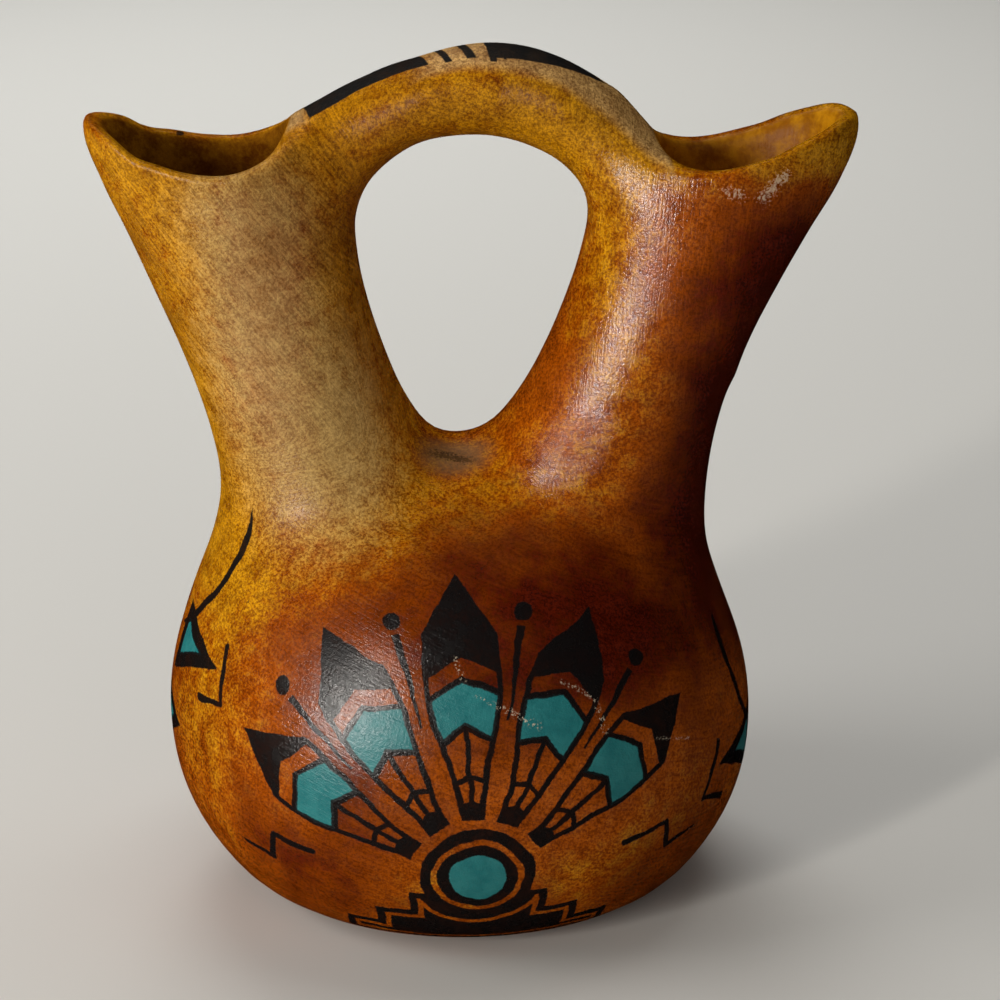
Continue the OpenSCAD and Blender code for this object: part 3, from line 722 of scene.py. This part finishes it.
# painted shade where the two spouts meet above the belly: a grey-brown darkening in the crotch, and a dark line along
# the small groove in it
cx3, cy3, cz3 = split(vcalc("ADD", vcalc("SUBTRACT", mm, (-2.0, -9.0, 106.5)), vcalc("SCALE", ragged, scale=2.2)))
crotch_shade = ramp(S(vcalc("LENGTH", join(cx3 * 0.080, cy3 * 0.13, cz3 * 0.16), out=1)) + (mottle - 0.5) * 0.5, 1.15, 0.35)
groove_shade = ramp(S(vcalc("LENGTH", join(cx3 * 0.12, 0.0, cz3 * 1.5 + cx3 * 0.22 + cx3 * cx3 * -0.03), out=1)), 1.0, 0.3) * crotch_shade
# painted shade in the crotch and along its groove
clay = blend(crotch_shade * 0.7, clay, (0.17, 0.105, 0.043, 1))
clay = blend(groove_shade * 0.75, clay, (0.035, 0.019, 0.008, 1))
inside_f = ramp(split(paint)[2], 0.45, 1.0)
left_shoulder = ramp(x3, -12.0, -28.0) * ramp(z3, 62.0, 80.0)
matt = highest(hm * ramp(abs(x3 + 3.0), 40.0, 28.0), left_neck * 0.7, left_shoulder * 0.85)
inside_clay = blend(ramp(x3, -6.0, 46.0), blend(ramp(mottle, 0.35, 0.65), (0.075, 0.022, 0.002, 1), (0.17, 0.060, 0.004, 1)), blend(ramp(mottle, 0.35, 0.65), (0.26, 0.088, 0.001, 1), (0.46, 0.19, 0.002, 1)))
clay = blend(inside_f * 0.85, clay, inside_clay)

# ---------------------------------------------------------------- paint over it
body = ramp(mottle * 0.5 + grain * 0.5, 0.34, 0.55, 0.93, 0.995)
black_f = ink(black_d) * body * outside
blue_f = ink(blue_d) * outside
band_f = ink(band_d) * body
colour = blend(blue_f * 0.97, clay, blend(ramp(mottle, 0.3, 0.7), (0.006, 0.155, 0.165, 1), (0.010, 0.205, 0.210, 1)))
colour = blend(black_f, colour, (0.0065, 0.0055, 0.0055, 1))
colour = blend(band_f, colour, (0.010, 0.0105, 0.011, 1))

# small scuffs that show the light clay, along crooked lines on the front and on the right lip
flake = ramp(grain, 0.55, 0.61)
scratch = lowest(
    stroke(paint_w, (-1.2, 38.0), (1.0, 33.0), 0.5, 0.4),
    stroke(paint_w, (4.0, 29.0), (18.5, 21.5), 0.25, 0.8),
    stroke(paint_w, (25.0, 31.0), (32.0, 27.0), 0.6, 0.4),
    stroke(paint_w, (33.0, 26.0), (35.0, 18.5), 0.5, 0.9),
    stroke(paint_w, (48.0, 13.5), (60.0, 10.5), 0.1, 0.2),
)
worn = ink(scratch, 0.5) * flake * outside * ramp(y3, 2.0, -2.0)
lip = lowest(stroke(join(x3, z3), (66.4, 169.4), (71.0, 174.4), 0.5, 0.3), stroke(join(x3, z3), (57.6, 171.4), (61.0, 170.2), -0.3, 0.1))
worn = highest(worn, ramp(lip + (grain - 0.5) * -9.0 + ramp(y3, -6.0, 0.0) * 40.0, 0.9, -0.9) * 0.7)
colour = blend(worn * 0.85, colour, (0.62, 0.52, 0.38, 1))
# two small black specks
speck = lowest(
    S(vcalc("LENGTH", vcalc("MULTIPLY", vcalc("SUBTRACT", mm, (-63.8, 16.7, 176.2)), (1.0, 0.6, 1.3)), out=1)),
    S(vcalc("LENGTH", vcalc("MULTIPLY", vcalc("SUBTRACT", mm, (-48.2, -30.6, 80.3)), (2.2, 1.0, 0.9)), out=1)),
)
colour = blend(ramp(speck + (grain - 0.5) * 0.8, 1.1, 0.7) * 0.9, colour, (0.012, 0.009, 0.008, 1))

# ---------------------------------------------------------------- surface
height = (grain - 0.5) * 0.34 + (hair - 0.5) * 0.24
bump = new("ShaderNodeBump")
bump.inputs["Strength"].default_value = 0.38
bump.inputs["Distance"].default_value = 0.001
put(bump.inputs["Height"], height)
rough = ramp(mottle, 0.35, 0.65, 0.17, 0.27)
rough = rough + ramp(highest(black_f, band_f), 0.0, 1.0, 0.0, 0.03) + ramp(blue_f, 0.0, 1.0, 0.0, 0.14) + inside_f * 0.25 + matt * 0.12

shader = new("ShaderNodeBsdfPrincipled")
put(shader.inputs["Base Color"], colour)
put(shader.inputs["Roughness"], rough)
shader.inputs["IOR"].default_value = 1.5
put(shader.inputs["Specular IOR Level"], 0.72 - inside_f * 0.55 - matt * 0.5)
put(shader.inputs["Normal"], bump.outputs[0])
output = new("ShaderNodeOutputMaterial")
tree.links.new(shader.outputs[0], output.inputs[0])

mesh.materials.append(material)
vase = bpy.data.objects.new("vase_body", mesh)
bpy.context.scene.collection.objects.link(vase)
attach(vase, "root")
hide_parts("vase")

# ---------------------------------------------------------------- floor, light, camera
floor_mesh = bpy.data.meshes.new("floor")
floor_mesh.from_pydata([(-6, -3, 0), (6, -3, 0), (6, 9, 0), (-6, 9, 0)], [], [(0, 1, 2, 3)])
floor = bpy.data.objects.new("floor", floor_mesh)
bpy.context.scene.collection.objects.link(floor)
floor_mat = bpy.data.materials.new("floor")
floor_mat.use_nodes = True
floor_mat.node_tree.nodes["Principled BSDF"].inputs["Base Color"].default_value = (0.66, 0.645, 0.61, 1)
floor_mat.node_tree.nodes["Principled BSDF"].inputs["Roughness"].default_value = 0.9
floor_mesh.materials.append(floor_mat)
floor.visible_glossy = False


def lamp(name, at, target, size, power, colour=(1, 1, 1), gloss=False):
    light = bpy.data.lights.new(name, "AREA")
    light.shape = "RECTANGLE"
    light.size, light.size_y = size
    light.energy = power
    light.color = colour
    ob = bpy.data.objects.new(name, light)
    ob.visible_glossy = gloss
    ob.location = at
    ob.rotation_euler = (Vector(target) - Vector(at)).to_track_quat("-Z", "Y").to_euler()
    bpy.context.scene.collection.objects.link(ob)


lamp("window", (-1.0, -1.15, 0.46), (0, 0, 0.11), (0.10, 0.56), 14.5, (1.0, 0.96, 0.90), gloss=True)
lamp("left", (-1.05, -0.20, 0.62), (0, 0, 0.10), (0.6, 0.6), 6.0, (1.0, 0.985, 0.965))
lamp("fill", (0.55, -1.5, 0.9), (0, 0, 0.1), (1.2, 1.0), 1.8, (1.0, 0.98, 0.95))
lamp("top", (0.10, 0.30, 1.2), (0, 0, 0.1), (0.9, 0.7), 3.6)
lamp("backdrop", (-0.20, 1.0, 0.9), (-0.15, 0.95, 0.0), (0.9, 0.5), 7.0, (0.98, 1.0, 1.0))

world = bpy.data.worlds.new("studio")
world.use_nodes = True
world.node_tree.nodes["Background"].inputs[0].default_value = (1.0, 0.96, 0.90, 1)
world.node_tree.nodes["Background"].inputs[1].default_value = 0.11
world.cycles_visibility.glossy = False
bpy.context.scene.world = world

bpy.context.scene.view_settings.view_transform = "Standard"

camera_data = bpy.data.cameras.new("camera")
camera_data.lens = 107.0
camera_data.sensor_width = 36.0
camera = bpy.data.objects.new("camera", camera_data)
camera.location = (0.0, -0.650, 0.332)
camera.rotation_euler = (math.radians(69.7862), 0.0, math.radians(-0.793))
bpy.context.scene.collection.objects.link(camera)
bpy.context.scene.camera = camera
